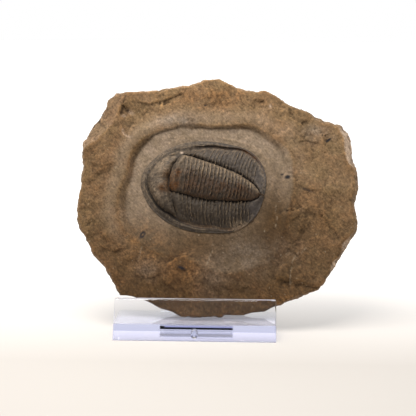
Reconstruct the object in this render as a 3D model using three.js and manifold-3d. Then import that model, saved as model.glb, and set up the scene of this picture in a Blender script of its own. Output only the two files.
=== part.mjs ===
import * as THREE from 'three';
import { mergeVertices } from 'three/addons/utils/BufferGeometryUtils.js';
import Module from 'manifold-3d';

// A trilobite lying in a broken slab of shale, on a clear moulded stand that holds it upright.
// Millimetres, +Z up, the fossil faces -Y. The origin is the centre of the footprint, on the table.

const wasm = await Module();
wasm.setup();

// Stand
const STAND_WIDTH = 95;
const BLOCK_HEIGHT = 8;
const BLOCK_TOP_DEPTH = 40;
const BLOCK_BASE_DEPTH = 31;
const LIP_HEIGHT = 22.3;
const LIP_THICKNESS = 3;
const LIP_LEAN = THREE.MathUtils.degToRad(28);
const REST_WIDTH = 44;
const REST_THICKNESS = 3;
const REST_HEIGHT = 62;
const LEG_FOOT_DEPTH = 76;
const GATE_MARK = { height: 4.3, halfWidth: 1.8, halfHeight: 2.8, proud: 0.5 };

// Slab
const LEAN = THREE.MathUtils.degToRad(18);
const THICKNESS = 15;
const FOOT_DEPTH = 20;
const GAP = 0.3;
const RIM_SETBACK = 1.2;
const BACK_INSET = 2.5;
const SLAB_LIFT = BLOCK_HEIGHT + GAP;

// The broken outline of the slab, seen square on, from the right-hand edge anticlockwise: x, then
// the height up the slab from its foot.
const OUTLINE = [
  [97, 78.5], [97, 85], [96.5, 91], [94.5, 97], [93.5, 103], [93, 109.5], [91, 115],
  [86.5, 119.5], [79, 122], [72, 124], [68, 127.5], [62, 129.5], [57, 131.5], [52.5, 134],
  [49, 137], [44.5, 139.5], [40, 141.5], [34.5, 140.5], [30, 141.5], [25.5, 142], [21, 144],
  [17, 146], [12, 148.5], [7.5, 148], [2.5, 147.5], [-2, 146], [-6.5, 144], [-11, 143.5],
  [-16, 143], [-26, 141], [-38, 140], [-45, 139.5], [-52, 138.5], [-56.5, 134.5],
  [-58.5, 128.5], [-61.5, 123], [-65.5, 118.5], [-68, 113], [-71, 108], [-71.5, 101.5],
  [-71, 89.5], [-72, 78], [-73.5, 65.5], [-73.5, 59.5], [-71.5, 54], [-68, 48.5],
  [-65.5, 43.5], [-63, 38], [-58, 34], [-55, 29.5], [-52, 24.5], [-49, 19], [-46, 13.5],
  [-41, 13.2], [-38.5, 12.8], [-33, 11.2], [-28, 9.2], [-22, 5.8], [-14.5, 3.8], [-10.5, 1.6],
  [-8.5, 0], [15.5, 0], [17, 2], [28, 2.1], [33.5, 3.8], [41, 4.5], [46.5, 7.5], [49, 8.5],
  [55.5, 12], [61, 14], [66.5, 16], [72.5, 18.5], [76.5, 23], [79.5, 28], [83, 33], [86, 38], [89, 43],
  [92.5, 48.5], [95.5, 54], [97, 60], [95, 66.5], [95, 72.5],
];

// The oval dish cleared round the fossil, in the plane of the slab
const DISH = { x: 6.5, z: 75.5, long: 50.5, short: 45, turn: 0 };
const SHALE_SETBACK = 1;
const DISH_FLOOR = SHALE_SETBACK + 3.2;
const DISH_EDGE = 1.5;

// The fossil: its middle and tilt, and its reach from the middle every 22.5 degrees, starting at
// the tail and going over the top
const FOSSIL = { x: 2.7, z: 80.3, turn: THREE.MathUtils.degToRad(-8.2) };
const FOSSIL_REACH = [
  37.8, 39.3, 37, 30.8, 28, 28.1, 29.8, 33.5, 37.2, 34.6, 31.2, 28.6, 27.9, 29, 33.4, 36.6,
];
const FOSSIL_SEAT = 2.4;
const BRIM_INNER = 0.8;
const BRIM_HEIGHT = 2.6;
const DOME_HEIGHT = 6.4;
const AXIS_HEIGHT = 2.6;
const NECK_DEPTH = 1.4;

const smooth = THREE.MathUtils.smoothstep;
const mix = THREE.MathUtils.lerp;

function solid(geometry) {
  const bare = geometry.index ? geometry.toNonIndexed() : geometry.clone();
  bare.deleteAttribute('normal');
  bare.deleteAttribute('uv');
  const merged = mergeVertices(bare, 1e-4);
  const mesh = new wasm.Mesh({
    numProp: 3,
    vertProperties: new Float32Array(merged.attributes.position.array),
    triVerts: new Uint32Array(merged.index.array),
  });
  return new wasm.Manifold(mesh);
}

function geometryOf(manifold) {
  const mesh = manifold.getMesh();
  const geometry = new THREE.BufferGeometry();
  geometry.setAttribute('position', new THREE.BufferAttribute(mesh.vertProperties, 3));
  geometry.setIndex(new THREE.BufferAttribute(mesh.triVerts, 1));
  geometry.computeVertexNormals();
  return geometry;
}

// A closed solid from rings of points, with a point at each end that closes it
function ringSolid(first, rings, last) {
  const count = rings[0].length;
  const positions = [first, ...rings.flat(), last].flatMap((p) => [p.x, p.y, p.z]);
  const end = rings.length * count + 1;
  const faces = [];
  for (let i = 0; i < count; i++) {
    const j = (i + 1) % count;
    faces.push(0, 1 + i, 1 + j);
    for (let ring = 0; ring + 1 < rings.length; ring++) {
      const inner = 1 + ring * count;
      const outer = inner + count;
      faces.push(inner + i, outer + i, outer + j, inner + i, outer + j, inner + j);
    }
    const edge = 1 + (rings.length - 1) * count;
    faces.push(edge + i, end, edge + j);
  }
  const geometry = new THREE.BufferGeometry();
  geometry.setAttribute('position', new THREE.Float32BufferAttribute(positions, 3));
  geometry.setIndex(faces);
  geometry.computeVertexNormals();
  return geometry;
}

// A prism across the stand: a profile in depth and height, spread evenly about the middle
function prism(profile, width) {
  const shape = new THREE.Shape(profile.map(([depth, height]) => new THREE.Vector2(depth, height)));
  const geometry = new THREE.ExtrudeGeometry(shape, { depth: width, bevelEnabled: false });
  geometry.translate(0, 0, -width / 2);
  geometry.rotateX(Math.PI / 2);
  geometry.rotateZ(Math.PI / 2);
  return solid(geometry);
}

// Distance from a centre to an oval, along a direction in the slab's plane
function reachOval(centre, angle, oval) {
  const cos = Math.cos(oval.turn);
  const sin = Math.sin(oval.turn);
  const dx = centre.x - oval.x;
  const dz = centre.z - oval.z;
  const px = (dx * cos + dz * sin) / oval.long;
  const pz = (dz * cos - dx * sin) / oval.short;
  const ux = Math.cos(angle - oval.turn) / oval.long;
  const uz = Math.sin(angle - oval.turn) / oval.short;
  const a = ux * ux + uz * uz;
  const b = px * ux + pz * uz;
  const c = px * px + pz * pz - 1;
  return (Math.sqrt(b * b - a * c) - b) / a;
}

// Reach of the fossil's outline at an angle from its own axis, rounded between the given reaches
function fossilReach(angle) {
  const count = FOSSIL_REACH.length;
  const turns = angle / (2 * Math.PI);
  const place = (turns - Math.floor(turns)) * count;
  const i = Math.floor(place);
  const t = place - i;
  const [a, b, c, d] = [-1, 0, 1, 2].map((step) => FOSSIL_REACH[(i + step + count) % count]);
  return b + 0.5 * t * (c - a + t * (2 * a - 5 * b + 4 * c - d + t * (3 * (b - c) + d - a)));
}

// Directions from the fossil's middle to each corner of the outline and to two points between
function outlineRays(centre) {
  const rays = [];
  OUTLINE.forEach(([x, z], i) => {
    const [nextX, nextZ] = OUTLINE[(i + 1) % OUTLINE.length];
    for (const share of [0, 0.5]) {
      const dx = mix(x, nextX, share) - centre.x;
      const dz = mix(z, nextZ, share) - centre.z;
      rays.push({ angle: Math.atan2(dz, dx), reach: Math.hypot(dx, dz) });
    }
  });
  return rays;
}

// How far the shale surface stands back from the slab's front plane: shallow flakes and swells
function shaleDepth(x, z) {
  const swell = 0.55 * Math.sin(x / 17 + 0.6) * Math.cos(z / 21 - 0.4);
  const flake = 0.35 * Math.sin(x / 7.3 - z / 11.9) + 0.25 * Math.sin(z / 6.1 + x / 13.7);
  return SHALE_SETBACK + swell + flake;
}

// No point of the slab reaches below the flat that it stands on
function aboveSeat(x, y, z) {
  return new THREE.Vector3(x, y, Math.max(z, y * Math.tan(LEAN)));
}

function slabGeometry() {
  const rays = outlineRays(FOSSIL);
  const seatFloor = DISH_FLOOR + FOSSIL_SEAT + GAP;
  const ring = (reachOf, depthOf) => rays.map((ray) => {
    const reach = reachOf(ray);
    const x = FOSSIL.x + reach * Math.cos(ray.angle);
    const z = FOSSIL.z + reach * Math.sin(ray.angle);
    return aboveSeat(x, depthOf(x, z, ray), z);
  });
  const fossil = (ray) => fossilReach(ray.angle - FOSSIL.turn) + GAP;
  const dish = (ray) => reachOval(FOSSIL, ray.angle, DISH);
  const between = (share) => (ray) => mix(dish(ray) + DISH_EDGE, ray.reach - 2, share);
  const seatRing = (share) => ring((ray) => share * fossil(ray), () => seatFloor);
  const dishRing = (share) => ring(
    (ray) => mix(fossil(ray), dish(ray) - DISH_EDGE, share),
    (x, z) => DISH_FLOOR + 0.35 * (shaleDepth(x, z) - SHALE_SETBACK),
  );
  const rings = [
    seatRing(0.5),
    seatRing(1),
    ring(fossil, () => DISH_FLOOR),
    dishRing(0.33),
    dishRing(0.66),
    dishRing(1),
    ...[0, 0.25, 0.5, 0.75, 1].map((share) => ring(between(share), shaleDepth)),
    ring((ray) => ray.reach, (x, z) => shaleDepth(x, z) + RIM_SETBACK),
    ring((ray) => ray.reach - 0.3, () => THICKNESS * 0.55),
    ring((ray) => ray.reach - BACK_INSET, () => THICKNESS - RIM_SETBACK),
    ring((ray) => ray.reach - 2 * BACK_INSET, () => THICKNESS),
    ring((ray) => ray.reach * 0.5, () => THICKNESS),
  ];
  const front = new THREE.Vector3(FOSSIL.x, seatFloor, FOSSIL.z);
  const back = new THREE.Vector3(FOSSIL.x, THICKNESS, FOSSIL.z);
  return ringSolid(front, rings, back);
}

// Height of the fossil above the dish: a rolled brim, a furrow inside it, and a domed body with
// a raised lobe that narrows to the tail and is parted from the head by a neck furrow
function fossilHeight(along, across, edge) {
  const brim = Math.sin(Math.PI * smooth(edge, BRIM_INNER, 1.04)) ** 0.7;
  const dome = Math.sqrt(Math.max(0, 1 - (edge / BRIM_INNER) ** 2));
  const rear = smooth(along, -15, 34);
  const off = Math.abs(across - mix(5.2, 1, rear)) / mix(12, 4.2, rear);
  const axis = (1 - smooth(off, 0.6, 1.05)) * (1 - smooth(-along, 18, 24));
  const neck = Math.exp(-(((along + 19) / 2) ** 2));
  return 0.4 + BRIM_HEIGHT * brim + dome * (DOME_HEIGHT + AXIS_HEIGHT * axis - NECK_DEPTH * neck);
}

function fossilGeometry() {
  const sides = 72;
  const cos = Math.cos(FOSSIL.turn);
  const sin = Math.sin(FOSSIL.turn);
  const point = (edge, angle, depthOf) => {
    const along = edge * fossilReach(angle) * Math.cos(angle);
    const across = edge * fossilReach(angle) * Math.sin(angle);
    const x = FOSSIL.x + along * cos - across * sin;
    const z = FOSSIL.z + along * sin + across * cos;
    return new THREE.Vector3(x, depthOf(along, across), z);
  };
  const ring = (edge, depthOf) => Array.from(
    { length: sides },
    (_, i) => point(edge, (i * 2 * Math.PI) / sides, depthOf),
  );
  const surface = (edge) => (along, across) => DISH_FLOOR - fossilHeight(along, across, edge);
  const seat = () => DISH_FLOOR + FOSSIL_SEAT;
  const steps = [0.1, 0.2, 0.3, 0.4, 0.5, 0.58, 0.65, 0.71, 0.76, 0.8, 0.84, 0.88, 0.93, 0.97, 1];
  const rings = [
    ...steps.map((edge) => ring(edge, surface(edge))),
    ring(1, seat),
    ring(0.5, seat),
  ];
  return ringSolid(point(0, 0, surface(0)), rings, point(0, 0, seat));
}

function standGeometry() {
  const lean = Math.tan(LIP_LEAN);
  const front = prism([
    [0, 0],
    [BLOCK_BASE_DEPTH, 0],
    [BLOCK_TOP_DEPTH, BLOCK_HEIGHT],
    [BLOCK_HEIGHT * lean + LIP_THICKNESS, BLOCK_HEIGHT],
    [LIP_HEIGHT * lean + LIP_THICKNESS, LIP_HEIGHT],
    [LIP_HEIGHT * lean, LIP_HEIGHT],
  ], STAND_WIDTH);

  // The back rest lies parallel to the slab's back; its leg comes down to the table behind
  const slope = Math.tan(LEAN);
  const across = REST_THICKNESS / Math.cos(LEAN);
  const restFoot = FOOT_DEPTH + (THICKNESS + 2 * GAP) / Math.cos(LEAN) - SLAB_LIFT * slope;
  const at = (height) => restFoot + height * slope;
  const low = BLOCK_HEIGHT - 2.5;
  const legTop = REST_HEIGHT - 2 * REST_THICKNESS;
  const rest = prism([
    [at(low), low],
    [at(low) + across, low],
    [at(legTop) + across, legTop],
    [LEG_FOOT_DEPTH - REST_THICKNESS, 0],
    [LEG_FOOT_DEPTH, 0],
    [at(REST_HEIGHT) + across, REST_HEIGHT],
    [at(REST_HEIGHT), REST_HEIGHT],
  ], REST_WIDTH);

  // The oval mark left by the mould's gate, low on the front
  const mark = new THREE.SphereGeometry(1, 24, 12);
  mark.scale(GATE_MARK.halfWidth, GATE_MARK.proud, GATE_MARK.halfHeight);
  mark.rotateX(-LIP_LEAN);
  mark.translate(0, GATE_MARK.height * lean, GATE_MARK.height);
  return geometryOf(front.add(rest).add(solid(mark)));
}

function mesh(name, geometry, color, roughness) {
  const material = new THREE.MeshStandardMaterial({ color, roughness, metalness: 0 });
  const part = new THREE.Mesh(geometry, material);
  part.name = name;
  return part;
}

const specimen = new THREE.Group();
specimen.add(mesh('shale_slab', slabGeometry(), '#7d6a55', 0.85));
specimen.add(mesh('trilobite', fossilGeometry(), '#4d4741', 0.6));
specimen.rotation.x = -LEAN;
specimen.position.set(0, FOOT_DEPTH, SLAB_LIFT);

const group = new THREE.Group();
const clear = mesh('clear_stand', standGeometry(), '#eef2fa', 0.05);
clear.material.transparent = true;
clear.material.opacity = 0.35;
group.add(specimen, clear);

group.updateMatrixWorld(true);
const box = new THREE.Box3().setFromObject(group, true);
const middle = box.getCenter(new THREE.Vector3());
group.position.set(-middle.x, -middle.y, -box.min.z);
group.updateMatrixWorld(true);

export default group;
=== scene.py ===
import math

import bmesh
import bpy
import numpy as np
from mathutils import Matrix, Vector, noise


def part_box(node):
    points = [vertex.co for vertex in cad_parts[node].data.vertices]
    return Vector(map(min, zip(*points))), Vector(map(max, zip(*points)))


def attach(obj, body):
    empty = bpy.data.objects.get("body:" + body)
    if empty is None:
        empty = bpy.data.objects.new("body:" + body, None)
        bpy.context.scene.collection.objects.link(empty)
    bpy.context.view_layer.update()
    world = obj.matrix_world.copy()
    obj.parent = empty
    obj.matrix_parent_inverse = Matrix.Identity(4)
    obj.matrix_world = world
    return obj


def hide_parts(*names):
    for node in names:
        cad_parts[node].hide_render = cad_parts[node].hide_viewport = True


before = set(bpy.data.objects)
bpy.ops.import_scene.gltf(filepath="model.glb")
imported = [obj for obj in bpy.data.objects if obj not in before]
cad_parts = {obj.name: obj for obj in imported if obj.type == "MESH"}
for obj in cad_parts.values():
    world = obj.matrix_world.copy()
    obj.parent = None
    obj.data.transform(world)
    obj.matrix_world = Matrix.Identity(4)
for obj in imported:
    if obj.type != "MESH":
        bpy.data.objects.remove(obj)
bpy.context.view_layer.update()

# A trilobite in a broken slab of shale on a clear stand. Sculpting is done in the slab's own
# frame, in millimetres: x to the right, y into the stone from its front plane, z up the slab.

MM = 0.001
LEAN = math.radians(18)
FOOT_DEPTH = 20.0
FOOT_HEIGHT = 8.3
LIP_REAR = 15.5
STAND_LO, STAND_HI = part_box("clear_stand")
FOOT = np.array([
    (STAND_LO.x + STAND_HI.x) / 2,
    STAND_LO.y + FOOT_DEPTH * MM,
    FOOT_HEIGHT * MM,
])

# ---------------------------------------------------------------- small tools


def to_slab(points):
    """World metres to slab millimetres, for rows of x, y, z."""
    p = (points - FOOT) / MM
    y = p[:, 1] * math.cos(LEAN) - p[:, 2] * math.sin(LEAN)
    z = p[:, 1] * math.sin(LEAN) + p[:, 2] * math.cos(LEAN)
    return np.column_stack([p[:, 0], y, z])


def to_world(points):
    """Slab millimetres to world metres."""
    y = points[:, 1] * math.cos(LEAN) + points[:, 2] * math.sin(LEAN)
    z = points[:, 2] * math.cos(LEAN) - points[:, 1] * math.sin(LEAN)
    return np.column_stack([points[:, 0], y, z]) * MM + FOOT


def read_points(mesh):
    flat = np.empty(len(mesh.vertices) * 3)
    mesh.vertices.foreach_get("co", flat)
    return flat.reshape(-1, 3)


def write_points(mesh, points):
    mesh.vertices.foreach_set("co", points.ravel())
    mesh.update()


def write_mask(mesh, name, values):
    """A mask that the material reads, from 0 to 1 at each vertex."""
    layer = mesh.attributes.new(name, "FLOAT", "POINT")
    layer.data.foreach_set("value", np.clip(values, 0, 1).astype(np.float32))


def smooth(low, high, values):
    t = np.clip((values - low) / (high - low), 0, 1)
    return t * t * (3 - 2 * t)


def mix(a, b, t):
    return a + (b - a) * t


def blob(x, z, cx, cz, rx, rz, turn=0.0):
    """A soft oval spot: 1 at its middle, falling away at its radii."""
    c, s = math.cos(math.radians(turn)), math.sin(math.radians(turn))
    u = ((x - cx) * c + (z - cz) * s) / rx
    v = ((z - cz) * c - (x - cx) * s) / rz
    return np.exp(-(u * u + v * v))


def fractal(points, size, octaves=4, seed=0.0, roughness=0.9):
    """Fractal noise about 0 whose largest swells are size millimetres across."""
    scaled = points / size + seed * 7.31
    return np.array([noise.fractal(Vector(p), roughness, 2.0, octaves) for p in scaled])


def line_distance(x, z, route):
    """Distance from each point to an open line through the route's points."""
    best = np.full(len(x), 1e9)
    for (ax, az), (bx, bz) in zip(route, route[1:]):
        dx, dz = bx - ax, bz - az
        t = np.clip(((x - ax) * dx + (z - az) * dz) / (dx * dx + dz * dz), 0, 1)
        best = np.minimum(best, np.hypot(x - ax - t * dx, z - az - t * dz))
    return best


def beside_route(x, z, route):
    """Distance to a route, counted as positive on its right, and the place along it from 0 to 1."""
    best, signed, along = np.full(len(x), 1e9), np.zeros(len(x)), np.zeros(len(x))
    for i, ((ax, az), (bx, bz)) in enumerate(zip(route, route[1:])):
        dx, dz = bx - ax, bz - az
        t = np.clip(((x - ax) * dx + (z - az) * dz) / (dx * dx + dz * dz), 0, 1)
        distance = np.hypot(x - ax - t * dx, z - az - t * dz)
        right = np.sign((x - ax) * dz - (z - az) * dx)
        closer = distance < best
        best = np.where(closer, distance, best)
        signed = np.where(closer, distance * right, signed)
        along = np.where(closer, (i + t) / (len(route) - 1), along)
    return signed, along


def shelf(x, z, route, drop, run):
    """A broken edge along a route: lower by drop on its right, easing back over run millimetres."""
    signed, along = beside_route(x, z, route)
    ends = smooth(0, 0.2, along) * smooth(1, 0.8, along)
    return drop * ends * smooth(-0.4, 0.4, signed) * np.exp(-(signed / run) ** 2)


def facets(points, size, tilt, seed):
    """Flat-faced flakes about size millimetres across, each leaning its own way."""
    rng = np.random.default_rng(seed)
    x, z = points[:, 0], points[:, 2]
    count = int((200 / size) * (190 / size))
    centres = rng.uniform((-100, -20), (100, 170), (count, 2))
    lean = rng.normal(0, tilt, (count, 2))
    lift = rng.normal(0, tilt * size * 0.25, count)
    first, height = np.full(len(x), 1e9), np.zeros(len(x))
    second, lower = first.copy(), height.copy()
    for (cx, cz), (lx, lz), up in zip(centres, lean, lift):
        distance = np.hypot(x - cx, z - cz)
        own = up + lx * (x - cx) + lz * (z - cz)
        nearest, next_nearest = distance < first, distance < second
        lower = np.where(nearest, height, np.where(next_nearest, own, lower))
        second = np.where(nearest, first, np.where(next_nearest, distance, second))
        height, first = np.where(nearest, own, height), np.where(nearest, distance, first)
    return mix(height, lower, 0.5 * smooth(0.12 * size, 0, second - first))


def hollows(mesh, heights, rounds):
    """How far each point stands above the mean of the points round it."""
    pairs = np.empty(len(mesh.edges) * 2, dtype=np.int32)
    mesh.edges.foreach_get("vertices", pairs)
    a, b = pairs.reshape(-1, 2).T
    count = np.bincount(a, minlength=len(heights)) + np.bincount(b, minlength=len(heights))
    soft = heights
    for _ in range(rounds):
        total = np.bincount(a, soft[b], len(heights)) + np.bincount(b, soft[a], len(heights))
        soft = (soft + total / count) / 2
    return heights - soft


def make_object(name, mesh):
    obj = bpy.data.objects.new(name, mesh)
    bpy.context.scene.collection.objects.link(obj)
    return obj


def cad_copy(node):
    """A copy of a CAD solid with its doubles merged, ready to be shaped."""
    source = bpy.data.objects[node]
    bm = bmesh.new()
    bm.from_mesh(source.data)
    bm.transform(source.matrix_world)
    bmesh.ops.remove_doubles(bm, verts=bm.verts, dist=0.00001)
    mesh = bpy.data.meshes.new(node + "_shape")
    bm.to_mesh(mesh)
    bm.free()
    return mesh


# ---------------------------------------------------------------- outlines

# The dish cleared round the fossil: centre, floor, and the reach of its broken edge every 15
# degrees from the right round over the top
DISH_X, DISH_Z = 6.5, 75.5
DISH_FLOOR = 4.2
DISH_REACH = [51, 54, 56.5, 53.2, 50.3, 45, 42.7, 46.6, 48, 52.4, 54.4, 52.2, 54.8, 57, 54, 49, 44,
              42.5, 46, 50.5, 52.5, 56, 52.5, 50]

# The fossil: centre, tilt, and its reach from the centre every 22.5 degrees from the tail round
# over the top of its outline
FOSSIL_X, FOSSIL_Z, FOSSIL_TURN = 2.7, 80.3, math.radians(-8.2)
FOSSIL_REACH = [37.8, 39.3, 37.0, 31.3, 29.0, 29.4, 31.3, 34.8, 38.2, 35.4, 31.6, 28.8, 27.9, 29.0,
                33.4, 36.6]


def rounded_reach(angle, reaches):
    """Radius of an outline at an angle, rounded smoothly through its evenly spaced reaches."""
    steps = len(reaches)
    place = np.mod(angle, 2 * math.pi) / (2 * math.pi) * steps
    i = np.floor(place).astype(int)
    t = place - i
    r = np.array(reaches, dtype=float)
    a, b, c, d = (r[(i + k) % steps] for k in (-1, 0, 1, 2))
    return b + 0.5 * t * (c - a + t * (2 * a - 5 * b + 4 * c - d + t * (3 * (b - c) + d - a)))


def fossil_reach(angle):
    return rounded_reach(angle, FOSSIL_REACH)


def fossil_frame(x, z):
    """Along and across the fossil, along towards the tail."""
    c, s = math.cos(FOSSIL_TURN), math.sin(FOSSIL_TURN)
    dx, dz = x - FOSSIL_X, z - FOSSIL_Z
    return dx * c + dz * s, dz * c - dx * s


def fossil_share(x, z):
    """0 at the fossil's middle, 1 on its outline, more outside."""
    along, across = fossil_frame(x, z)
    return np.hypot(along, across) / fossil_reach(np.arctan2(across, along))


# ---------------------------------------------------------------- materials


# The mid grey that leaves a colour as it is when it is overlaid
NEUTRAL = "#bcbcbc"


def tone(hex_colour, alpha=1.0):
    """An sRGB hex colour as the linear value that a socket takes."""
    channels = [int(hex_colour[i:i + 2], 16) / 255 for i in (1, 3, 5)]
    linear = [c / 12.92 if c <= 0.04045 else ((c + 0.055) / 1.055) ** 2.4 for c in channels]
    return (*linear, alpha)


def add(tree, kind, links=None, values=None, **settings):
    """Adds a node with its settings, socket values and incoming links."""
    node = tree.nodes.new(kind)
    for key, value in settings.items():
        setattr(node, key, value)
    for key, value in (values or {}).items():
        node.inputs[key].default_value = value
    for key, source in (links or {}).items():
        tree.links.new(source, node.inputs[key])
    return node


def ramp(tree, factor, stops):
    """A colour ramp: stops are pairs of place and hex colour."""
    node = add(tree, "ShaderNodeValToRGB", {"Fac": factor})
    band = node.color_ramp
    while len(band.elements) < len(stops):
        band.elements.new(0.5)
    for element, (place, colour) in zip(band.elements, stops):
        element.position = place
        element.color = tone(colour)
    return node.outputs["Color"]


def blend(tree, factor, under, over, kind="MIX"):
    node = add(tree, "ShaderNodeMix", data_type="RGBA", blend_type=kind)
    for socket, source in ((node.inputs[0], factor), (node.inputs[6], under), (node.inputs[7], over)):
        if isinstance(source, (int, float, tuple)):
            socket.default_value = source
        else:
            tree.links.new(source, socket)
    return node.outputs[2]


def span(tree, value, low, high, to_low=0.0, to_high=1.0):
    node = add(tree, "ShaderNodeMapRange", {"Value": value}, {
        "From Min": low, "From Max": high, "To Min": to_low, "To Max": to_high})
    return node.outputs["Result"]


def grain(tree, place, size, detail=4.0, roughness=0.6, distortion=0.0):
    """Noise whose swells are size millimetres across."""
    node = add(tree, "ShaderNodeTexNoise", {"Vector": place}, {
        "Scale": 1 / (size * MM), "Detail": detail, "Roughness": roughness, "Distortion": distortion})
    return node.outputs["Fac"]


def slanted(tree, place, turn, stretch):
    """Coordinates that draw a pattern out along a slant, turn degrees from upright."""
    node = add(tree, "ShaderNodeMapping", {"Vector": place}, {
        "Rotation": (0.0, math.radians(turn), 0.0), "Scale": (1.0, 1.0, stretch)},
        vector_type="TEXTURE")
    return node.outputs["Vector"]


def mask(tree, name):
    return add(tree, "ShaderNodeAttribute", attribute_name=name).outputs["Fac"]


def times(tree, a, b):
    node = add(tree, "ShaderNodeMath", operation="MULTIPLY")
    for socket, source in zip(node.inputs, (a, b)):
        if isinstance(source, (int, float)):
            socket.default_value = source
        else:
            tree.links.new(source, socket)
    return node.outputs[0]


def new_material(name):
    material = bpy.data.materials.new(name)
    material.use_nodes = True
    tree = material.node_tree
    tree.nodes.clear()
    place = add(tree, "ShaderNodeTexCoord").outputs["Object"]
    shader = add(tree, "ShaderNodeBsdfPrincipled")
    add(tree, "ShaderNodeOutputMaterial", {"Surface": shader.outputs["BSDF"]})
    return material, tree, place, shader


def shale_material():
    """Split shale: matt brown mudstone with rusty patches and paler, freshly chipped edges, with painted
    shade in its hollows, towards its bottom and on the dish's walls, and a painted highlight on the
    facets down its right side.
    """
    material, tree, place, shader = new_material("split_brown_shale")
    broad = grain(tree, place, 34, 5, 0.62, 0.4)
    patch = grain(tree, place, 9, 6, 0.68, 0.3)
    fine = grain(tree, place, 2.6, 4, 0.65)
    grit = grain(tree, place, 1.3, 3, 0.75)
    scratch = grain(tree, slanted(tree, place, -38, 4), 1.2, 3, 0.7)
    colour = ramp(tree, broad, [
        (0.3, "#6a563e"), (0.48, "#766248"), (0.62, "#7d6950"), (0.75, "#705a3e")])
    mottle = ramp(tree, patch, [(0.32, "#5c4934"), (0.5, "#766147"), (0.68, "#8c7862")])
    colour = blend(tree, 0.3, colour, mottle)
    tinge = ramp(tree, grain(tree, place, 14, 4, 0.6, 0.5), [
        (0.36, "#bab6ae"), (0.5, "#c0b8b6"), (0.64, "#c8b6ae")])
    colour = blend(tree, 0.5, colour, tinge, "OVERLAY")
    worked = ramp(tree, patch, [(0.3, "#776855"), (0.7, "#978675")])
    colour = blend(tree, mask(tree, "dish"), colour, worked)
    # Painted shade: darker towards the bottom, under the fossil and on the dish's walls
    colour = blend(tree, mask(tree, "painted_shade"), colour, tone("#948368"), "MULTIPLY")
    stain = ramp(tree, fine, [(0.35, "#543a21"), (0.65, "#7a5835")])
    colour = blend(tree, times(tree, mask(tree, "stain"), span(tree, patch, 0.35, 0.6)), colour, stain)
    grey = ramp(tree, fine, [(0.35, "#67635e"), (0.65, "#807a73")])
    colour = blend(tree, times(tree, mask(tree, "grey"), span(tree, patch, 0.3, 0.65)), colour, grey)
    # Pale chipped faces, with a painted highlight on the facets down the right side
    fresh_and_lit = ramp(tree, scratch, [(0.3, "#a08a75"), (0.7, "#bfaa96")])
    colour = blend(tree, mask(tree, "fresh_and_lit"), colour, fresh_and_lit)
    # Painted shade in the hollows, and a paler tone on the crests
    shade = ramp(tree, mask(tree, "hollow_shade"), [(0.0, "#e4dccf"), (0.5, NEUTRAL), (1.0, "#3c3228")])
    colour = blend(tree, 0.8, colour, shade, "OVERLAY")
    plain = add(tree, "ShaderNodeMath", {0: mask(tree, "dish"), 1: mask(tree, "fresh_and_lit")},
                operation="MAXIMUM")
    sandy = span(tree, plain.outputs[0], 0, 1, 0.52, 0.36)
    for texture, dark, light in ((scratch, "#8c8884", "#e0dcd6"), (fine, "#94918e", "#dcd8d2"),
                                 (grit, "#7c7976", "#e8e4de")):
        speck = ramp(tree, texture, [(0.3, dark), (0.5, NEUTRAL), (0.7, light)])
        colour = blend(tree, sandy, colour, speck, "OVERLAY")
    fleck = span(tree, grain(tree, place, 2.1, 2, 0.5), 0.7, 0.76, 0.0, 0.35)
    colour = blend(tree, fleck, colour, tone("#a89880"))
    colour = blend(tree, times(tree, mask(tree, "vein"), span(tree, fine, 0.42, 0.62)), colour,
                   tone("#a5957f"))
    colour = blend(tree, mask(tree, "pit"), colour, tone("#222124"))
    tree.links.new(colour, shader.inputs["Base Color"])
    shader.inputs["IOR"].default_value = 1.5
    shader.inputs["Specular IOR Level"].default_value = 0.15
    tree.links.new(span(tree, patch, 0.3, 0.7, 0.72, 0.92), shader.inputs["Roughness"])
    rough = add(tree, "ShaderNodeMath", {0: scratch, 1: grit}, operation="ADD")
    bump = add(tree, "ShaderNodeBump", {"Height": rough.outputs[0]}, {
        "Strength": 0.8, "Distance": 0.45 * MM})
    tree.links.new(bump.outputs["Normal"], shader.inputs["Normal"])
    return material


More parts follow.
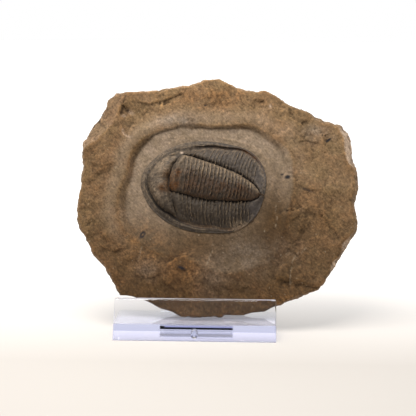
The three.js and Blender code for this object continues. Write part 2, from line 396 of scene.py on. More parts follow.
def shell_material():
    """Fossil shell: dark calcite with a satin touch, tan dust on its crests and rust stains, a painted
    sheen on its middle lobe's upper flank, and painted shade in its hollows, its lower groove and under
    the lobe.
    """
    material, tree, place, shader = new_material("dark_fossil_shell")
    patch = grain(tree, place, 5, 5, 0.65, 0.2)
    fine = grain(tree, place, 1.1, 4, 0.7)
    colour = ramp(tree, patch, [(0.3, "#322a22"), (0.55, "#3e352b"), (0.75, "#4e4337")])
    slate = ramp(tree, patch, [(0.3, "#47413f"), (0.7, "#5c554f")])
    colour = blend(tree, mask(tree, "slate"), colour, slate)
    # Tan dust, and a painted sheen on the middle lobe's upper flank
    dust_and_sheen = ramp(tree, fine, [(0.3, "#625343"), (0.7, "#8a7965")])
    colour = blend(tree, times(tree, mask(tree, "dust_and_sheen"), span(tree, patch, 0.25, 0.55, 0.7, 1.0)),
                   colour, dust_and_sheen)
    rust = ramp(tree, fine, [(0.3, "#36210b"), (0.7, "#603a14")])
    colour = blend(tree, times(tree, mask(tree, "rust"), span(tree, patch, 0.3, 0.6)), colour, rust)
    # Painted shade in the hollows, and a paler tone on the crests
    shade = ramp(tree, mask(tree, "hollow_shade"), [(0.0, "#e2dccf"), (0.5, NEUTRAL), (1.0, "#2a241e")])
    colour = blend(tree, 0.9, colour, shade, "OVERLAY")
    speck = ramp(tree, fine, [(0.28, "#8a8a8a"), (0.5, NEUTRAL), (0.74, "#e2e0de")])
    colour = blend(tree, 0.75, colour, speck, "OVERLAY")
    colour = blend(tree, mask(tree, "chip"), colour, tone("#b5a08c"))
    # Painted shade in the lower groove and under the middle lobe
    colour = blend(tree, mask(tree, "gloom"), colour, tone("#1c1611"))
    tree.links.new(colour, shader.inputs["Base Color"])
    shader.inputs["IOR"].default_value = 1.55
    shader.inputs["Specular IOR Level"].default_value = 0.25
    tree.links.new(span(tree, fine, 0.3, 0.7, 0.55, 0.8), shader.inputs["Roughness"])
    bump = add(tree, "ShaderNodeBump", {"Height": fine}, {"Strength": 0.5, "Distance": 0.2 * MM})
    tree.links.new(bump.outputs["Normal"], shader.inputs["Normal"])
    return material


def acrylic_material():
    """Clear acrylic, moulded and polished: water-clear with faint flow marks in its gloss.

    Lamps shine through it, so that what stands behind it is lit.
    """
    material, tree, place, shader = new_material("clear_moulded_acrylic")
    flow = grain(tree, place, 14, 3, 0.5)
    tint = ramp(tree, flow, [(0.3, "#fcfdff"), (0.7, "#ffffff")])
    tree.links.new(tint, shader.inputs["Base Color"])
    shader.inputs["Transmission Weight"].default_value = 1.0
    shader.inputs["IOR"].default_value = 1.49
    tree.links.new(span(tree, flow, 0.3, 0.7, 0.0, 0.03), shader.inputs["Roughness"])
    depth = add(tree, "ShaderNodeVolumeAbsorption", values={
        "Color": (0.0, 0.05, 0.65, 1.0), "Density": 11.0})
    out = tree.nodes["Material Output"]
    tree.links.new(depth.outputs["Volume"], out.inputs["Volume"])
    lamp = add(tree, "ShaderNodeLightPath").outputs["Is Shadow Ray"]
    through = add(tree, "ShaderNodeBsdfTransparent", values={"Color": (0.79, 0.8, 0.83, 1.0)})
    lit = add(tree, "ShaderNodeMixShader", {
        0: lamp, 1: shader.outputs["BSDF"], 2: through.outputs["BSDF"]})
    tree.links.new(lit.outputs["Shader"], out.inputs["Surface"])
    return material


# ---------------------------------------------------------------- slab

OUTLINE = [
    (97, 78.5), (97, 85), (96.5, 91), (94.5, 97), (93.5, 103), (93, 109.5), (91, 115),
    (86.5, 119.5), (79, 122), (72, 124), (68, 127.5), (62, 129.5), (57, 131.5), (52.5, 134),
    (49, 137), (44.5, 139.5), (40, 141.5), (34.5, 140.5), (30, 141.5), (25.5, 142), (21, 144),
    (17, 146), (12, 148.5), (7.5, 148), (2.5, 147.5), (-2, 146), (-6.5, 144), (-11, 143.5),
    (-16, 143), (-26, 141), (-38, 140), (-45, 139.5), (-52, 138.5), (-56.5, 134.5),
    (-58.5, 128.5), (-61.5, 123), (-65.5, 118.5), (-68, 113), (-71, 108), (-71.5, 101.5),
    (-71, 89.5), (-72, 78), (-73.5, 65.5), (-73.5, 59.5), (-71.5, 54), (-68, 48.5),
    (-65.5, 43.5), (-63, 38), (-58, 34), (-55, 29.5), (-52, 24.5), (-49, 19), (-46, 13.5),
    (-41, 13.2), (-38.5, 12.8), (-33, 11.2), (-28, 9.2), (-22, 5.8), (-14.5, 3.8), (-10.5, 1.6),
    (-8.5, 0), (15.5, 0), (17, 2), (28, 2.1), (33.5, 3.8), (41, 4.5), (46.5, 7.5), (49, 8.5),
    (55.5, 12), (61, 14), (66.5, 16), (72.5, 18.5), (76.5, 23), (79.5, 28), (83, 33), (86, 38), (89, 43),
    (92.5, 48.5), (95.5, 54), (97, 60), (95, 66.5), (95, 72.5),
]


def bearing(x, z):
    """Angle round the dish's middle in degrees: 0 to the right, 90 up."""
    return np.mod(np.degrees(np.arctan2(z - DISH_Z, x - DISH_X)), 360)


def round_table(angle, stops):
    """A value that changes smoothly all round, from pairs of angle in degrees and value."""
    return np.interp(angle, [a for a, _ in stops], [v for _, v in stops], period=360)


# Broken edges on the front: route, how far the surface drops to its right, how soon it recovers
SHELVES = [
    ([(-8, 139.5), (-12, 138.5), (-23, 134.2), (-31, 132), (-41, 133.4)][::-1], 1.1, 7),
    ([(-50, 122.5), (-47.6, 131.5), (-41, 125.5)], 1.9, 5),
    ([(-43, 111.6), (-45, 112), (-47.5, 115)], 0.8, 6),
    ([(-14, 121), (-24, 123), (-34, 119), (-40, 113)][::-1], 0.4, 9),
    ([(33, 135.5), (36, 134), (40, 135)], 1.0, 5),
    ([(53, 127), (60, 121), (66, 117), (62, 108)][::-1], 0.7, 8),
    ([(58, 108), (66, 110), (75, 108)], 0.8, 9),
    ([(59, 83), (66, 80), (76, 78)], 0.6, 5),
    ([(60, 72), (66, 66), (73, 62)], 0.7, 6),
    ([(74, 66), (78, 60), (84, 52), (86, 46)], 0.9, 8),
    ([(54, 45), (60, 40), (64, 33)], 0.8, 7),
    ([(57, 33), (56, 26), (57, 18)], 0.5, 5),
    ([(-57, 75), (-50, 68), (-46, 60)], 0.6, 8),
    ([(-68, 96), (-60, 92), (-52, 95)], 0.5, 9),
    ([(-60, 44), (-50, 40), (-42, 43)], 0.7, 8),
    ([(-40, 27), (-30, 24), (-20, 27)], 0.7, 7),
    ([(-12, 31.5), (-9, 29.5), (-5, 30)], 0.9, 3),
    ([(12, 22), (22, 18), (34, 20)], 0.5, 8),
]


# The crease behind which the upper-left rim slopes away
UPPER_LEFT_CREASE = [(-73, 102), (-70, 103.5), (-66.5, 105.8), (-62.8, 107.5), (-58.6, 112.8),
                     (-53.2, 117.8), (-50.2, 123), (-48.5, 130), (-45, 135), (-43, 142)]


# The lowest stretch of the outline, and how far its wall slopes back under the slab
FOOT_EDGE = OUTLINE[OUTLINE.index((-46, 13.5)):OUTLINE.index((49, 8.5)) + 1]
UNDERCUT = math.tan(math.radians(11))


# A pale chipped line beside the crease
CURVED_CHIP = [(-47, 115.5), (-46.3, 113), (-44, 111.2), (-41, 110.8)]


def slab_front(points):
    """Depth of the sculpted front face, and the masks that go with it."""
    x, z = points[:, 0], points[:, 2]
    flat = np.column_stack([x, np.zeros(len(x)), z])
    angle = bearing(x, z)
    broad = fractal(flat, 46, 3, 1)
    lumps = fractal(flat, 13, 4, 2)
    grit = fractal(flat, 3.4, 3, 3)

    # Outer shale: swells and flakes, then the edges that broke away
    warped = flat + np.column_stack([lumps * 3, lumps * 0, grit * 1.5])
    flakes = facets(warped, 21, 0.042, 4) + facets(warped + grit[:, None] * 2, 6.5, 0.034, 9)
    outer = 1.4 + 0.7 * broad + 0.35 * lumps + 0.16 * grit + flakes
    for route, drop, run in SHELVES:
        outer = outer + shelf(x + 0.8 * lumps, z + 0.8 * lumps, route, drop, run)
    # The ring round the dish: a smooth shoulder outside a steep scarp
    out = np.hypot(x - DISH_X, z - DISH_Z) - rounded_reach(np.radians(angle), DISH_REACH)
    out = out + 0.5 * lumps + 0.25 * grit
    width = round_table(angle, [(0, 12), (28, 6), (45, 4), (60, 2.6), (72, 2.4), (86, 1.7), (96, 2),
                                (105, 4), (114, 1.7), (128, 1.1), (134, 1.6), (139, 3), (147, 4.2),
                                (155, 3.8), (163, 3.6), (184, 6), (195, 5.6), (215, 7), (255, 5),
                                (290, 8), (335, 12)])
    sheer = round_table(angle, [(0, 0.3), (28, 0.8), (62, 0.9), (84, 0.6), (106, 0.7), (116, 0.5),
                                (132, 0.5), (140, 1.0), (152, 0.9), (170, 0.8), (200, 0.7), (240, 0.5)])
    shoulder = round_table(angle, [(0, 0.1), (60, 0.6), (120, 0.9), (150, 1.0), (190, 0.9),
                                   (230, 0.3), (290, 0.2), (330, 0.1)])
    near = np.exp(-((out - 4.5) / 4.5) ** 2)
    outer = mix(outer, 0.9 - 0.2 * broad + 0.12 * lumps, near * np.clip(shoulder, 0, 1))
    outer = outer - 0.6 * shoulder * near
    inside = sheer * (1 - smooth(-width, 0, out)) + (1 - sheer) * (1 - smooth(-15, 0, out))
    floor = DISH_FLOOR + 0.25 * lumps * smooth(-2, -14, out) - 0.5 * smooth(30, 60, x)
    floor = floor + 0.09 * grit
    depth = mix(outer, floor, inside)

    # A low second step in the upper dish, and the moat that follows the tail
    share = fossil_share(x, z)
    moat = np.exp(-((share - 1.1) / 0.03) ** 2) * smooth(-20, 30, x) * smooth(60, 75, z)
    depth = depth - 0.45 * moat + 0.15 * np.exp(-((share - 0.98) / 0.03) ** 2)
    cleared = 1 - smooth(-np.minimum(width, 3) * 0.7, 0.5, out)
    # Painted shade on the scarp's wall, strongest at the top and upper left, where it faces down away
    # from the light
    wall_shade = round_table(angle, [
        (0, 0), (22, 0.1), (33, 0.35), (50, 0.6), (68, 0.9), (78, 0.5), (92, 0.6), (97, 0.9),
        (110, 0.8), (117, 0.3), (134, 0.4), (139, 1.0), (150, 1.0), (160, 0.8), (188, 0.75),
        (202, 0.5), (220, 0.3), (250, 0.3), (262, 0), (300, 0.1), (318, 0.35), (340, 0.3)])
    wall = wall_shade * smooth(-width - 1.0, -width * 0.6, out) * smooth(0.8, -0.3, out)
    worked = np.clip(cleared * 0.9 + near * shoulder * 0.6, 0, 1) * (1 - 0.8 * wall)
    return depth, {"dish": worked, "painted_shade": 0.28 * wall}


def slab_masks(x, z, masks):
    """Stains, greyer patches, veinlets and pits, each where the stone has it, and painted shade towards
    the bottom and round the dish; the greyer patch on the ring's top shoulder is a painted sheen.
    """
    masks["stain"] = np.clip(
        0.9 * blob(x, z, -3, 27, 13, 15, 10) + 0.7 * blob(x, z, -30, 38, 14, 12)
        + 0.75 * blob(x, z, 8, 136, 26, 7) + 0.5 * blob(x, z, -34, 52, 10, 9)
        + 0.5 * blob(x, z, 50, 14, 12, 7) + 0.5 * blob(x, z, 77, 62, 8, 10), 0, 1)
    # Painted shade: darker towards the bottom as the light falls off, a painted shadow under the fossil,
    # darker on the dish's right and at the upper left
    masks["painted_shade"] = (masks["painted_shade"] + (0.8 - 0.25 * smooth(40, 80, x)) * smooth(100, 10, z)
                     + 0.4 * blob(x, z, 6, 47, 34, 12) + 0.65 * blob(x, z, 46, 66, 16, 26)
                     + 0.25 * smooth(-30, -55, x) * smooth(60, 85, z))
    # The greyer patch on the ring's top shoulder is a painted sheen
    masks["grey"] = np.clip(
        0.35 * blob(x, z, 33, 40, 22, 12) + 0.3 * blob(x, z, 8, 24, 9, 12)
        + 0.35 * blob(x, z, -30, 30, 8, 6) + 0.6 * blob(x, z, -14, 121, 12, 4)
        + 0.5 * blob(x, z, 70, 115, 10, 5), 0, 1)
    veins = [
        [(9.5, 46), (8.5, 40), (6, 33)],
        [(47, 70), (48, 62), (47, 55)],
        [(26, 121), (24, 112)],
        [(61, 41), (57.5, 36), (56.3, 29), (56.3, 20)],
        [(66, 44), (60.5, 38)],
        [(-33, 45), (-35, 36)],
    ]
    distance = np.minimum.reduce([line_distance(x, z, vein) for vein in veins])
    masks["vein"] = 0.5 * smooth(0.55, 0.1, distance)
    spots = np.maximum.reduce([
        blob(x, z, 54.3, 87, 2.1, 1.5), 0.8 * blob(x, z, 51, 88.6, 1.3, 0.7),
        1.3 * blob(x, z, -33.3, 50.8, 1.5, 2.7, -30) - blob(x, z, -33.3, 50.8, 0.7, 1.4, -30),
        blob(x, z, -9, 30.5, 3.0, 1.1, -20), blob(x, z, 79, 110, 2.6, 1.0, 35),
        blob(x, z, 3.5, 131, 1.0, 0.8), 0.6 * blob(x, z, -16.5, 111, 3.2, 0.6, 3),
        0.7 * blob(x, z, 66, 79, 5.5, 0.8, -20),
    ])
    masks["pit"] = smooth(0.3, 0.75, spots)


# The slab's mesh: its fineness, how deep its front face runs, where its back begins, and the
# shares of the fossil's outline that its untouched bed and the lap round it reach
VOXEL = 0.8
FRONT_ENDS = 9
BACK_BEGINS = 6
BED_REACH = 0.96
LAP_REACH = 1.06


def slab_piece():
    """The slab: its plain shape meshed finely, then its front, rim, back and foot worked."""
    mesh = cad_copy("shale_slab")
    obj = make_object("shale_slab_stone", mesh)
    remesh = obj.modifiers.new("remesh", "REMESH")
    remesh.mode = "VOXEL"
    remesh.voxel_size = VOXEL * MM
    graph = bpy.context.evaluated_depsgraph_get()
    fine = bpy.data.meshes.new_from_object(obj.evaluated_get(graph))
    obj.modifiers.clear()
    obj.data = fine
    points = to_slab(read_points(fine))
    normals = np.empty(len(points) * 3)
    fine.vertices.foreach_get("normal", normals)
    normals = to_slab(normals.reshape(-1, 3) * MM + FOOT)
    x, y, z = points.T
    rim = line_distance(x, z, OUTLINE + OUTLINE[:1])
    front = smooth(0.3, 0.65, -normals[:, 1]) * (y < FRONT_ENDS)
    back = smooth(0.3, 0.65, normals[:, 1]) * (y > BACK_BEGINS)
    share = fossil_share(x, z)
    seat = share < BED_REACH
    front = np.where(~seat & (share < LAP_REACH) & (y < FRONT_ENDS), 1.0, front)
    side = 1 - front - back

    depth, masks = slab_front(points)
    slab_masks(x, z, masks)

    # Broken rim: a wide sloping face at the upper left, narrower ones down the right side
    chips = fractal(points, 16, 3, 5)
    ragged = fractal(points, 4, 2, 6)
    right = smooth(82, 90, x) * smooth(92, 99, z) * smooth(121, 116, z)
    low_right = smooth(68, 74, x) * np.exp(-((np.abs(z - 40.5) - 6) / 3.5) ** 2)
    reach = 1.3 + 1.1 * chips + 3.0 * right + 1.8 * low_right + 1.0 * smooth(82, 90, x)
    reach = np.maximum(reach + 0.5 * ragged, 0.5)
    facet = np.clip(1 - rim / reach, 0, 1)
    depth = depth + facet * 0.75 * reach
    crease, along = beside_route(x + 0.9 * ragged, z + 0.9 * ragged, UPPER_LEFT_CREASE)
    sloped = np.clip(-crease, 0, 9) * (rim < 12) * (along > 0.01) * (along < 0.99)
    ridge = np.where(crease < 0, 1.0, np.exp(-np.maximum(crease, 0) / 4.5))
    ends = smooth(0, 0.12, along) * smooth(1, 0.85, along)
    depth = depth + sloped * 0.5 - 1.7 * ridge * ends * (rim < 22)
    # Pale freshly chipped faces and chips; down the right side the pale facets are a painted highlight
    masks["fresh_and_lit"] = np.clip(
        (0.2 - 0.15 * along) * smooth(0.0, 1.2, sloped)
        + smooth(0.0, 0.25, facet) * (0.95 * right + 0.8 * low_right)
        + 0.2 * smooth(0.1, 0.5, facet) + 0.6 * blob(x, z, -42.5, 126.5, 2.4, 1.0, -35)
        + 0.5 * blob(x, z, -46.5, 124.3, 1.3, 0.8) + 0.7 * blob(x, z, 43.6, 131.2, 0.8, 1.4)
        + 0.5 * smooth(0.9, 0.2, line_distance(x, z, CURVED_CHIP)), 0, 1)
    front_y = np.where(seat, y, mix(y, depth, front))
    y = np.where(seat, front_y, np.maximum(front_y, depth * (side > 0.5)))

    # Rim wall: beds that weather in and out, and small bites
    strata = np.array([noise.fractal(Vector((a / 11, b / 1.3, c / 11)), 0.8, 2.0, 3)
                       for a, b, c in points])
    bite = fractal(points, 5.5, 3, 8)
    inward = side * (0.45 * strata + 0.6 * np.maximum(bite, -0.2))
    inward = inward + side * 0.9 * np.maximum(ragged, -0.3)
    x = x - normals[:, 0] * inward
    z = z - normals[:, 2] * inward

    # Back: a plainer split face
    rear = fractal(points, 40, 3, 11)
    beds = 3.2 * rear
    level = np.floor(beds) + smooth(0.0, 0.2, np.mod(beds, 1.0))
    y = y - back * np.clip(0.7 + 0.55 * level + 0.3 * bite + facets(points, 16, 0.04, 13), 0, 2.6)

    # Foot: its broken edge climbs on both sides of the flat that the slab stands on
    broken = np.interp(x, [place for place, _ in FOOT_EDGE], [up for _, up in FOOT_EDGE])
    near_foot = smooth(-50, -42, x) * smooth(53, 46, x)
    z = mix(z, np.maximum(z, broken + y * UNDERCUT), near_foot)
    z = np.maximum(z, y * math.tan(LEAN))
    write_points(fine, to_world(np.column_stack([x, y, z])))

    # The marks of the front fade on the back
    # Painted shade in the front's hollows, and a paler tone on its crests
    masks["hollow_shade"] = 0.5 + (front - back) * (0.7 * hollows(fine, y, 3) + 0.3 * hollows(fine, y, 24))
    behind = {"hollow_shade": 1.0, "stain": 0.35, "grey": 0.35, "fresh_and_lit": 0.1}
    for name, values in masks.items():
        write_mask(fine, name, values * mix(1.0, behind.get(name, 0.0), back))
    for polygon in fine.polygons:
        polygon.use_smooth = True
    fine.materials.clear()
    fine.materials.append(shale_material())
    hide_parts("shale_slab")
    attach(obj, "root")
    return obj


# ---------------------------------------------------------------- trilobite

# Along the fossil, the raised middle lobe's upper and lower furrows (millimetres across)
LOBE = [(-18, 17.0, -5.6), (-9, 17.0, -6.8), (0, 15.4, -7.2), (8, 14.2, -7.4), (15, 12.0, -6.8),
        (22, 10.6, -5.6), (28, 7.4, -4.6), (34, 5.2, -3.8), (38, 4.0, -2.8)]
# The furrow behind the head: across, along
NECK = [(-25, -11.2), (-18, -14.0), (-13, -16.8), (-5.5, -18.8), (2, -21.0), (8, -19.8),
        (12, -18.3), (16, -16.5), (22, -13.0)]
# Width of the brim round the outline: angle, millimetres
BRIM = [(0, 0.0), (20, 0.3), (33, 0.9), (45, 1.2), (58, 1.8), (78, 2.7), (92, 3.0), (117, 4.0),
        (135, 2.4), (160, 2.1), (185, 2.6), (200, 3.2), (215, 3.7), (228, 4.5), (247, 3.3),
        (270, 2.7), (294, 2.6), (317, 0.9), (330, 0.2)]
# Heights of the brim and of the groove inside it, round the outline: angle, brim, groove
EDGE = [(0, 0.6, 0.7), (33, 1.2, 0.4), (60, 1.6, 0.0), (92, 1.5, 0.1), (110, 1.2, 0.9),
        (150, 1.0, 1.3), (178, 1.0, 1.0), (198, 1.2, 0.2), (225, 1.5, 0.0), (255, 1.3, 0.0),
        (290, 1.1, 0.3), (320, 0.8, 0.7)]
# Distance between the ribs at the head end and at the tail end, and the length that they take up
RIB_PITCH_FRONT, RIB_PITCH_REAR, RIBBED_LENGTH = 2.55, 2.0, 42
# How far behind the dish's floor the shell's plain back lies
SEAT_DEPTH = 2.2


def through(value, rows):
    """A smooth curve close to the rows of place and value."""
    return np.polyval(np.polyfit([row[0] for row in rows], [row[1] for row in rows], 5), value)


def fossil_relief(along, across, share):
    """Height of the fossil above the dish, and masks, at points given along and across it."""

    def spot(at, over, length, width, turn=0.0):
        """A soft oval spot, placed along and across the fossil."""
        return blob(along, across, at, over, length, width, turn)

    points = np.column_stack([along, across, np.zeros(len(along))])
    wobble = fractal(points, 7, 3, 21)
    grit = fractal(points, 1.6, 3, 22)
    mottled = smooth(-0.15, 0.25, fractal(points, 2.6, 3, 33))
    angle = np.arctan2(across, along)
    edge = (1 - share) * fossil_reach(angle)
    edge = edge + 0.5 * wobble * smooth(0, 2, edge)
    turned = np.degrees(angle) % 360
    brim_width = round_table(turned, BRIM)
    brim_height = round_table(turned, [(row[0], row[1]) for row in EDGE])
    groove = round_table(turned, [(row[0], row[2]) for row in EDGE])
    groove_width = 0.5 + 0.9 * smooth(0.3, 2.5, brim_width)
    inner = edge - brim_width - groove_width

    # Middle lobe
    station = np.clip(along, LOBE[0][0], LOBE[-1][0])
    top = through(station, [(row[0], row[1]) for row in LOBE]) + 0.5 * wobble
    low = through(station, [(row[0], row[2]) for row in LOBE]) + 0.4 * wobble
    centre, half = (top + low) / 2, (top - low) / 2
    half = half * np.sqrt(np.clip(1 - np.clip((along - 27) / 8.2, 0, 1) ** 2, 0.01, 1))
    off = np.abs(across - centre)
    lobe = np.sqrt(np.clip(1 - (off / half) ** 2, 0, 1))
    beside = np.maximum(off - half, 0)
    flank = beside / (beside + np.maximum(inner, 0.05))
    furrow = np.interp(along, [-20, 0, 20, 38], [5.2, 5.2, 4.2, 2.4])
    crest = np.interp(along, [-20, -10, 5, 25, 38], [8.6, 9.4, 9.2, 7.2, 3.6])
    pleura = 0.9 + (furrow - 0.9) * (1 - flank ** 2.2) + 0.9 * np.sin(np.pi * np.minimum(flank * 1.3, 1))
    body = np.where(off < half, furrow + (crest - furrow) * lobe, pleura)

    # Segments: rings across the lobe and ribs swept back over the flanks
    sweep = np.interp(along, [-15, 0, 30], [6.0, 3.2, 2.0])
    swept = along - sweep * flank ** 1.7 + 0.8 * (1 - lobe) * (off < half) + 0.55 * wobble
    run = swept + 12.5
    narrowing = (RIB_PITCH_FRONT - RIB_PITCH_REAR) / (2 * RIBBED_LENGTH * RIB_PITCH_REAR)
    count = run / RIB_PITCH_FRONT * (1 + run * narrowing)
    phase = np.mod(count, 1.0)
    ridge = 0.45 * np.sin(np.pi * phase) + 0.75 * np.exp(-((phase - 0.62) / 0.13) ** 2)
    each_rib = np.column_stack([count * 2, across / 7, along * 0])
    ridge = ridge * np.clip(0.8 + 0.5 * fractal(each_rib, 1, 3, 31), 0, 1.2)
    segmented = smooth(-13.5, -12.0, swept) * smooth(31.5, 29, swept) * smooth(0.2, 1.4, inner)
    beads = fractal(np.column_stack([along * 1.6, across, along * 0]), 2.4, 3, 27)
    faint = mix(1.0, 0.55, smooth(-2, 3, across - top))
    ribs = segmented * faint * 0.7 * (ridge - 0.5) * (1 + 1.6 * beads)
    valley = np.exp(-((off - half + 0.6 * wobble + 0.9 * (ridge - 0.6)) / 1.0) ** 2)
    body = body - 0.85 * valley * smooth(38, 34, along)

    # Head: a dome with two cheeks and a middle swelling, parted from the body by its furrow
    neck = through(np.clip(across, NECK[0][0], NECK[-1][0]), NECK) + 0.9 * wobble
    head = smooth(0.6, -0.6, along - neck)
    dome = 0.9 + 5.2 * np.sqrt(np.clip(1 - (1 - np.clip(inner / 11, 0, 1)) ** 2, 0, 1))
    dome = dome + 1.5 * spot(-26, 8, 5.0, 6.5) + 1.0 * spot(-26.5, -10, 4.5, 5)
    dome = dome + 1.4 * spot(-24.5, -3.2, 3.4, 2.6) - 1.2 * spot(-21.5, 2, 2.5, 4)
    dome = dome + 0.9 * spot(-20.5, 17.6, 3.4, 1.0, 5) - 1.2 * spot(-22, 16.4, 2.8, 0.6, 5)
    body = mix(body, dome, head)
    nape = np.exp(-((along - neck) / 1.6) ** 2)
    body = body - 1.6 * nape * smooth(-23, -15, across) * smooth(17, 11, across)
    collar = np.exp(-((along - neck - 3.0) / 1.7) ** 2)
    collar = collar * smooth(-9, -4, across) * smooth(20, 14, across)
    body = body + 0.9 * collar

    # Rounded margin, then the groove and the brim outside it
    ease = 2.4 + 3.5 * smooth(100, 120, turned) * smooth(195, 180, turned)
    rounding = np.sqrt(np.clip(1 - (1 - np.clip(inner / ease, 0, 1)) ** 2, 0, 1))
    height = groove + np.maximum(body + ribs - groove, 0.1) * rounding
    roll = smooth(-0.4, 0.7 * brim_width + 0.6, edge)
    brim = brim_height * roll * (1 + 0.12 * np.sin(edge * 6.5 + 3 * wobble))
    on_brim = smooth(0.35, -0.35, edge - brim_width) * smooth(0.2, 0.8, brim_width)
    height = mix(height, brim, on_brim)
    height = height + 0.3 * wobble + 0.2 * grit + head * 0.06 * (mottled - 0.5)
    height = np.maximum(height, 0.3) * smooth(-0.01, 0.012, 1 - share) + 0.25

    # Dust with a painted sheen on the middle lobe's upper flank, rust, slate-grey patches, one chip, and
    # painted shade for the deepest shadows
    lobe_side = (across - centre) / half
    on_lobe = off < half
    dust_and_sheen = np.clip(
        on_lobe * smooth(-0.2, 0.9, lobe_side) * smooth(-17, -12, along) * (0.35 + 0.35 * ridge)
        + head * (0.6 + 0.25 * mottled) * (spot(-25, 8, 9, 10) + 0.6 * spot(-27, -8, 6, 7))
        + 0.35 * (across > top) * smooth(3.0, 0.6, inner) * smooth(-0.2, 0.3, inner)
        + 0.3 * collar + 0.2 * segmented * ridge ** 3
        + on_brim * (0.35 * spot(-36, 0, 14, 18) + 0.36 * spot(-12, 24, 12, 7))
        + 0.7 * smooth(1.4, 0.3, np.abs(inner + 0.2)) * spot(10, -24, 18, 6)
        + 1.6 * spot(27, -20.5, 5.0, 3.2) + 0.35 * beads, 0, 1)
    # The lobe's underside: painted shade, and rust
    underside = on_lobe * smooth(0.5, -0.1, lobe_side) * smooth(-15, -8, along)
    rust = np.clip(
        1.3 * spot(-15.9, 4.2, 1.9, 3.4) + 1.7 * spot(-17.0, -2.6, 2.3, 2.2)
        + 0.8 * spot(-16.3, 0.5, 2.2, 4.5) + 0.9 * spot(-23.3, -5.0, 3.0, 2.2)
        + 0.7 * spot(-22, 2, 3, 6) + 0.55 * underside + 0.9 * spot(22, 2.0, 2.2, 3.5)
        + 0.6 * smooth(1.6, 0.4, np.abs(inner + 0.2)) * spot(12, -24, 22, 6)
        + 0.9 * smooth(1.4, 0.3, np.abs(inner + 0.5)) * spot(18, 24, 18, 8), 0, 1)
    slate = np.clip(
        on_brim * 0.1 + 0.8 * smooth(28, 36, along) * (off > half * 0.8)
        + 0.5 * spot(32, -9, 5, 5) + 0.3 * (across > top) * smooth(-12, 0, along), 0, 1)
    low_groove = smooth(188, 200, turned) * smooth(262, 240, turned)
    gloom = (
        0.9 * low_groove * np.exp(-((inner + 0.6) / 0.7) ** 2) + 0.3 * underside
        + 0.15 * (across < low) * smooth(0.3, 1.5, inner) * smooth(-15, -9, along))
    masks = {"dust_and_sheen": dust_and_sheen, "rust": rust, "slate": slate, "gloom": gloom,
             "chip": spot(-15.9, 18.8, 0.9, 0.7)}
    return height, masks


def trilobite_piece():
    """The fossil as one closed shell: a fine relief in front, a plain seat in the stone behind."""
    across_steps, along_steps = 240, 320
    bm = bmesh.new()
    bmesh.ops.create_grid(bm, x_segments=along_steps, y_segments=across_steps, size=1.0)
    border = [edge for edge in bm.edges if edge.is_boundary]
    made = bmesh.ops.extrude_edge_only(bm, edges=border)
    skirt = [item for item in made["geom"] if isinstance(item, bmesh.types.BMVert)]
    for vertex in skirt:
        vertex.co.z = -1.0
    loop = [edge for edge in bm.edges if edge.is_boundary]
    bmesh.ops.holes_fill(bm, edges=loop, sides=0)
    bmesh.ops.recalc_face_normals(bm, faces=bm.faces)
    mesh = bpy.data.meshes.new("trilobite_shell")
    bm.to_mesh(mesh)
    bm.free()

    square = read_points(mesh)
    u, v, below = square.T
    disc_x = u * np.sqrt(1 - v * v / 2)
    disc_y = v * np.sqrt(1 - u * u / 2)
    share = np.minimum(np.hypot(disc_x, disc_y), 1.0)
    angle = np.arctan2(disc_y, disc_x)
    reach = fossil_reach(angle) * share
    along, across = reach * np.cos(angle), reach * np.sin(angle)
    height, masks = fossil_relief(along, across, share)
    seat = below < -0.5
    c, s = math.cos(FOSSIL_TURN), math.sin(FOSSIL_TURN)
    x = FOSSIL_X + along * c - across * s
    z = FOSSIL_Z + along * s + across * c
    y = np.where(seat, DISH_FLOOR + SEAT_DEPTH, DISH_FLOOR - height)
    # How far each point lies above or below the mean of its neighbours: painted shade in the hollows, a
    # paler tone on the crests
    shape = (across_steps + 1, along_steps + 1)
    sheet = height[:shape[0] * shape[1]].reshape(shape)
    soft = sheet
    for _ in range(6):
        padded = np.pad(soft, 1, mode="edge")
        soft = (padded[:-2, 1:-1] + padded[2:, 1:-1] + padded[1:-1, :-2] + padded[1:-1, 2:]) / 4
    hollow = np.zeros(len(height))
    hollow[:shape[0] * shape[1]] = (soft - sheet).ravel()
    rimmed = smooth(0.0, 0.03, 1 - share)
    masks["hollow_shade"] = mix(0.5, 0.5 + hollow * 1.7, rimmed)
    write_points(mesh, to_world(np.column_stack([x, y, z])))
    for name, values in masks.items():
        write_mask(mesh, name, values)
    for polygon in mesh.polygons:
        polygon.use_smooth = True
    obj = make_object("trilobite_shell", mesh)
    bm = bmesh.new()
    bm.from_mesh(mesh)
    bmesh.ops.recalc_face_normals(bm, faces=bm.faces)
    bm.to_mesh(mesh)
    bm.free()
    mesh.materials.append(shell_material())
    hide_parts("trilobite")
    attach(obj, "root")
    return obj


# ---------------------------------------------------------------- stand

# Rounding of the moulded edges, and the angle from which an edge is rounded
EASED_EDGE = 0.7
SHARP = math.radians(20)
# Faces smaller than this, in square millimetres, are the rounded ones and the oval mark's
SMALL_FACE = 2


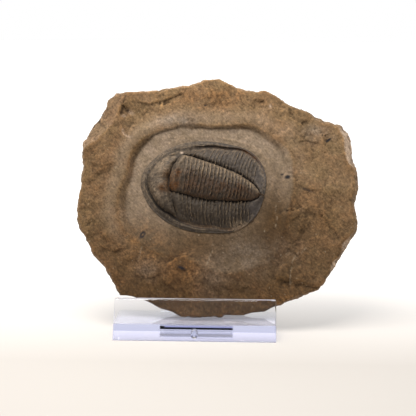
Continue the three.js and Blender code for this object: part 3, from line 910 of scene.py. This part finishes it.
def stand_piece():
    """The clear stand with the moulded edges of its lip and front eased."""
    mesh = cad_copy("clear_stand")
    bm = bmesh.new()
    bm.from_mesh(mesh)
    bmesh.ops.dissolve_limit(bm, angle_limit=math.radians(1), verts=bm.verts, edges=bm.edges)
    bmesh.ops.recalc_face_normals(bm, faces=bm.faces)
    lip_back = STAND_LO.y + LIP_REAR * MM
    eased = [
        edge for edge in bm.edges
        if edge.is_convex and edge.calc_face_angle(0) > SHARP
        and all(vert.co.y < lip_back for vert in edge.verts)
    ]
    bmesh.ops.bevel(bm, geom=eased, offset=EASED_EDGE * MM, segments=3, affect="EDGES",
                    profile=0.5, material=-1)
    bmesh.ops.triangulate(bm, faces=bm.faces)
    bm.to_mesh(mesh)
    bm.free()
    for polygon in mesh.polygons:
        polygon.use_smooth = polygon.area < SMALL_FACE * MM * MM
    obj = make_object("clear_stand_moulding", mesh)
    mesh.materials.append(acrylic_material())
    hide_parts("clear_stand")
    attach(obj, "root")
    return obj


# ---------------------------------------------------------------- stage

TARGET = FOOT + np.array([7.0, 0.0, 75.4 - FOOT_HEIGHT]) * MM
AZIMUTH, ELEVATION, ROLL = math.radians(2.0), math.radians(9.0), math.radians(0.3)
DISTANCE = 0.65
LENS, SENSOR = 96, 36
# The floor, in metres: half its width, and how far it lies under the stand to stay clear of it
FLOOR_REACH = 30.0
FLOOR_DROP = 0.15 * MM
# The room in front of the object is dimmer than the white round the rest of it
DIM_FRONT = 0.13


def camera():
    data = bpy.data.cameras.new("camera")
    data.lens = LENS
    data.sensor_width = SENSOR
    data.clip_end = 20
    obj = bpy.data.objects.new("camera", data)
    bpy.context.scene.collection.objects.link(obj)
    back = Vector((
        math.sin(AZIMUTH) * math.cos(ELEVATION),
        -math.cos(AZIMUTH) * math.cos(ELEVATION),
        math.sin(ELEVATION),
    ))
    turn = (-back).to_track_quat("-Z", "Y").to_matrix() @ Matrix.Rotation(ROLL, 3, "Z")
    obj.rotation_mode = "QUATERNION"
    obj.rotation_quaternion = turn.to_quaternion()
    obj.location = Vector(TARGET) + back * DISTANCE
    bpy.context.scene.camera = obj


def area_light(name, place, aim, size, watts, colour):
    data = bpy.data.lights.new(name, "AREA")
    data.shape = "RECTANGLE"
    data.size, data.size_y = size
    data.energy = watts
    data.color = tone(colour)[:3]
    obj = bpy.data.objects.new(name, data)
    bpy.context.scene.collection.objects.link(obj)
    obj.location = place
    obj.rotation_mode = "QUATERNION"
    obj.rotation_quaternion = (Vector(aim) - Vector(place)).to_track_quat("-Z", "Y")


def studio():
    """A pale floor that glows, faintly at the front and more towards the back, so that it runs into
    white and its shadows stay faint, and soft light from above and the left.
    """
    bm = bmesh.new()
    bmesh.ops.create_grid(bm, x_segments=1, y_segments=1, size=FLOOR_REACH)
    for vertex in bm.verts:
        vertex.co.z = -FLOOR_DROP
    mesh = bpy.data.meshes.new("floor")
    bm.to_mesh(mesh)
    bm.free()
    floor = make_object("floor", mesh)
    material, tree, place, shader = new_material("matt_white_paper")
    shader.inputs["Base Color"].default_value = tone("#bab4ad")
    shader.inputs["Roughness"].default_value = 0.8
    # Painted light: the floor glows, faintly at the front and more towards the back
    depth = add(tree, "ShaderNodeSeparateXYZ", {"Vector": place}).outputs["Y"]
    shader.inputs["Emission Color"].default_value = (1.0, 1.0, 1.0, 1.0)
    tree.links.new(span(tree, depth, -0.08, 0.2, 0.12, 0.85), shader.inputs["Emission Strength"])
    mesh.materials.append(material)
    world = bpy.data.worlds.new("studio")
    bpy.context.scene.world = world
    world.use_nodes = True
    tree = world.node_tree
    background = tree.nodes["Background"]
    sky = add(tree, "ShaderNodeTexCoord").outputs["Generated"]
    aim = add(tree, "ShaderNodeSeparateXYZ", {"Vector": sky})
    front = span(tree, aim.outputs["Y"], -0.35, 0.25, 0.0, 1.0)
    above = times(tree, span(tree, aim.outputs["Z"], 0.1, 0.9, 0.0, 0.7),
                  span(tree, aim.outputs["Y"], -0.5, 0.1, 0.15, 1.0))
    aside = add(tree, "ShaderNodeMath", {0: aim.outputs["X"]}, operation="ABSOLUTE").outputs[0]
    sides = span(tree, aside, 0.3, 0.8, 0.0, 0.85)
    tent = add(tree, "ShaderNodeMath", {0: sides, 1: above}, operation="MAXIMUM").outputs[0]
    lit = add(tree, "ShaderNodeMath", {0: front, 1: tent}, operation="MAXIMUM")
    strength = span(tree, lit.outputs[0], 0, 1, DIM_FRONT, 1.0)
    tree.links.new(strength, background.inputs["Strength"])
    background.inputs["Color"].default_value = (1.0, 1.0, 1.0, 1.0)
    area_light("key", (-0.09, -0.12, 0.43), (0.0, 0.0, 0.09), (0.34, 0.24), 2.3, "#fffcf8")
    bpy.context.scene.view_settings.view_transform = "Standard"


camera()
studio()
slab_piece()
trilobite_piece()
stand_piece()
